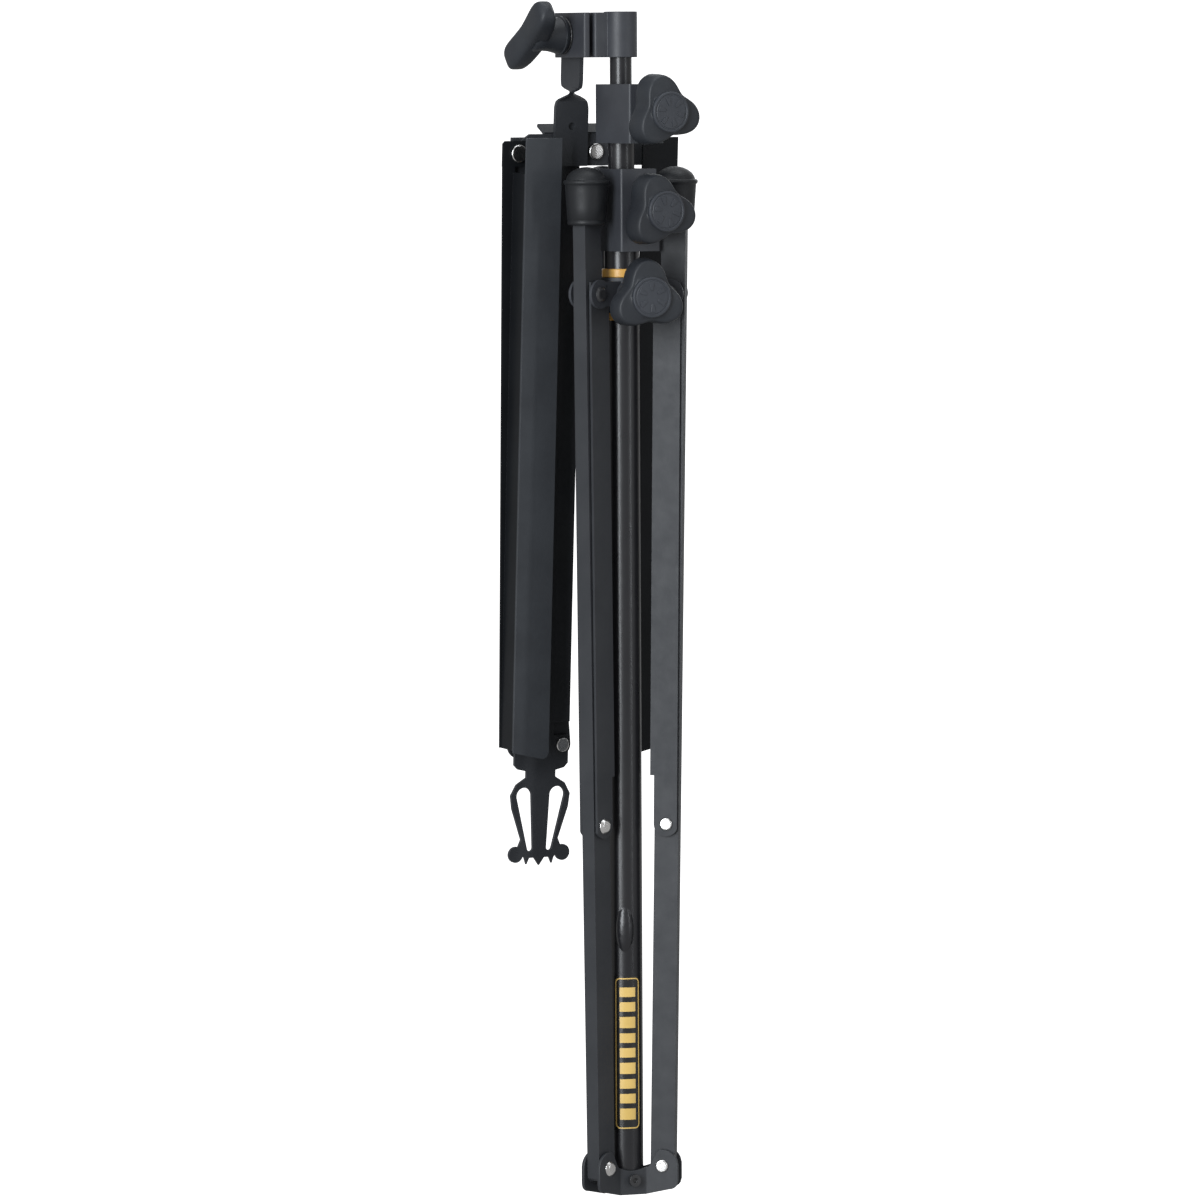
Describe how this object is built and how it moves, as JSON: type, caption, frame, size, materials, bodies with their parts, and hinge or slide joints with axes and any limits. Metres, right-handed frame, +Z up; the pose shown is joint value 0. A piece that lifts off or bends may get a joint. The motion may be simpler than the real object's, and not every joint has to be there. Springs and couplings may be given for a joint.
{
  "type": "folding sheet music stand",
  "caption": "Folding sheet music stand, folded: telescoping column with clamp knobs, tripod legs folded up against it and a sheet-metal desk hanging from a tilting head",
  "frame": {"origin": "centre of the column's bottom face, on the column axis", "axes": "+Z up the column, +X along the desk's tilt axis to the right, -Y towards the clamp knobs"},
  "size_m": [0.09, 0.0879, 0.5419],
  "materials": {
    "tube_enamel": "semi-gloss black enamel on drawn steel tube",
    "sheet_enamel": "satin black powder coat on pressed steel sheet",
    "block_enamel": "satin black enamel on steel clamp blocks",
    "knob_plastic": "fine-grained moulded charcoal plastic",
    "knob_cap_plastic": "smoother moulded charcoal plastic",
    "bushing_plastic": "black moulded plastic",
    "ring_plastic": "amber yellow moulded ring",
    "foot_rubber": "matte black rubber",
    "bright_rivet": "bright nickel-plated steel",
    "black_steel": "black oxide steel",
    "brass_shoe": "turned brass",
    "decal_film": "black printed film with an amber outline"
  },
  "bodies": {
    "stand_tube": {"outer_tube": "tube_enamel", "tube_end_plug": "bushing_plastic", "decal_plate": "decal_film", "lower_sleeve_bushing": "bushing_plastic", "lower_clamp_block": "block_enamel", "hub_bracket": "sheet_enamel", "hub_rivets": "bright_rivet", "hub_screw": "black_steel"},
    "leg_collar": {"leg_collar": "block_enamel", "collar_rivets": "black_steel", "slip_ring_upper": "ring_plastic", "slip_ring_lower": "ring_plastic", "collar_screw": "bright_rivet"},
    "middle_column": {"middle_tube": "tube_enamel", "middle_tube_glide": "bushing_plastic", "upper_clamp_block": "block_enamel", "upper_sleeve_bushing": "bushing_plastic"},
    "upper_column": {"upper_shaft": "tube_enamel", "head_barrel": "block_enamel", "tilt_cheek": "block_enamel", "tilt_bolt": "black_steel", "tilt_washer": "black_steel"},
    "wing_knob": {"wing_knob": "knob_plastic"},
    "desk": {"desk_strap": "sheet_enamel", "desk_centre_rivet": "bright_rivet", "desk_base_plate": "sheet_enamel", "ledge_pivot_rivets": "bright_rivet", "desk_spine": "sheet_enamel", "desk_stay_1": "sheet_enamel", "desk_stay_2": "sheet_enamel", "stay_gussets": "sheet_enamel", "stay_rivets": "bright_rivet"},
    "ledge_left": {"page_ledge_left": "sheet_enamel"},
    "ledge_right": {"page_ledge_right": "sheet_enamel"},
    "leg_1": {"leg_channel_1": "sheet_enamel", "leg_middle_rivet_1": "bright_rivet", "rubber_foot_1": "foot_rubber"},
    "brace_1": {"leg_brace_1": "sheet_enamel"},
    "knob_1": {"clamp_knob_1": "knob_plastic", "clamp_stud_1": "black_steel", "pressure_shoe_1": "brass_shoe", "knob_cap_1": "knob_cap_plastic"},
    "leg_2": {"leg_channel_2": "sheet_enamel", "leg_middle_rivet_2": "bright_rivet", "rubber_foot_2": "foot_rubber"},
    "brace_2": {"leg_brace_2": "sheet_enamel"},
    "knob_2": {"clamp_knob_2": "knob_plastic", "clamp_stud_2": "black_steel", "pressure_shoe_2": "brass_shoe", "knob_cap_2": "knob_cap_plastic"},
    "leg_3": {"leg_channel_3": "sheet_enamel", "leg_middle_rivet_3": "bright_rivet", "rubber_foot_3": "foot_rubber"},
    "brace_3": {"leg_brace_3": "sheet_enamel"},
    "knob_3": {"clamp_knob_3": "knob_plastic", "clamp_stud_3": "black_steel", "pressure_shoe_3": "brass_shoe", "knob_cap_3": "knob_cap_plastic"}
  },
  "joints": [
    {"name": "middle_slide", "type": "slide", "parent": "stand_tube", "child": "middle_column", "axis": [0, 0, 1], "range_m": [0, 0.27]},
    {"name": "upper_slide", "type": "slide", "parent": "middle_column", "child": "upper_column", "axis": [0, 0, 1], "range_m": [0, 0.3]},
    {"name": "leg_1_fold", "type": "hinge", "parent": "stand_tube", "child": "leg_1", "pos_m": [0.01341, -0.01125, 0.0132], "axis": [0.6428, 0.766, 0], "range_deg": [0, 112.96]},
    {"name": "brace_1_fold", "type": "hinge", "parent": "leg_1", "child": "brace_1", "pos_m": [0.01532, -0.01286, 0.169], "axis": [0.6428, 0.766, 0], "range_deg": [-148.5, 0]},
    {"name": "leg_2_fold", "type": "hinge", "parent": "stand_tube", "child": "leg_2", "pos_m": [-0.01645, -0.00598, 0.0132], "axis": [0.342, -0.9397, 0], "range_deg": [0, 112.96]},
    {"name": "brace_2_fold", "type": "hinge", "parent": "leg_2", "child": "brace_2", "pos_m": [-0.0188, -0.00684, 0.169], "axis": [0.342, -0.9397, 0], "range_deg": [-148.5, 0]},
    {"name": "leg_3_fold", "type": "hinge", "parent": "stand_tube", "child": "leg_3", "pos_m": [0.00304, 0.01723, 0.0132], "axis": [-0.9848, 0.1736, 0], "range_deg": [0, 112.96]},
    {"name": "brace_3_fold", "type": "hinge", "parent": "leg_3", "child": "brace_3", "pos_m": [0.00347, 0.0197, 0.169], "axis": [-0.9848, 0.1736, 0], "range_deg": [-148.5, 0]},
    {"name": "collar_slide", "type": "slide", "parent": "stand_tube", "child": "leg_collar", "axis": [0, 0, 1], "range_m": [-0.2621, 0]},
    {"name": "desk_tilt", "type": "hinge", "parent": "upper_column", "child": "desk", "pos_m": [-0.015, 0.017, 0.525], "axis": [1, 0, 0], "range_deg": [0, 196]},
    {"name": "ledge_left_fold", "type": "hinge", "parent": "desk", "child": "ledge_left", "pos_m": [-0.042, 0.02026, 0.4721], "axis": [0, 0.9984, 0.0558], "range_deg": [0, 90]},
    {"name": "ledge_right_fold", "type": "hinge", "parent": "desk", "child": "ledge_right", "pos_m": [0.032, 0.02026, 0.4721], "axis": [0, -0.9984, -0.0558], "range_deg": [0, 90]},
    {"name": "wing_knob_turn", "type": "hinge", "parent": "upper_column", "child": "wing_knob", "pos_m": [-0.03, 0.017, 0.525], "axis": [1, 0, 0], "range_deg": [-90, 360]},
    {"name": "knob_1_turn", "type": "hinge", "parent": "middle_column", "child": "knob_1", "pos_m": [0, -0.035, 0.4906], "axis": [0, -1, 0], "range_deg": [-90, 360]},
    {"name": "knob_2_turn", "type": "hinge", "parent": "stand_tube", "child": "knob_2", "pos_m": [0, -0.035, 0.4463], "axis": [0, -1, 0], "range_deg": [-90, 360]},
    {"name": "knob_3_turn", "type": "hinge", "parent": "leg_collar", "child": "knob_3", "pos_m": [-0.00608, -0.03447, 0.408], "axis": [-0.1736, -0.9848, 0], "range_deg": [-90, 360]}
  ],
  "couplings": [
    {"joint": "brace_1_fold", "follows": "leg_1_fold", "ratio": -1.3145},
    {"joint": "brace_2_fold", "follows": "leg_1_fold", "ratio": -1.3145},
    {"joint": "leg_2_fold", "follows": "leg_1_fold", "ratio": 1},
    {"joint": "brace_3_fold", "follows": "leg_1_fold", "ratio": -1.3145},
    {"joint": "leg_3_fold", "follows": "leg_1_fold", "ratio": 1},
    {"joint": "collar_slide", "follows": "leg_1_fold", "m_per_rad": -0.13289}
  ]
}
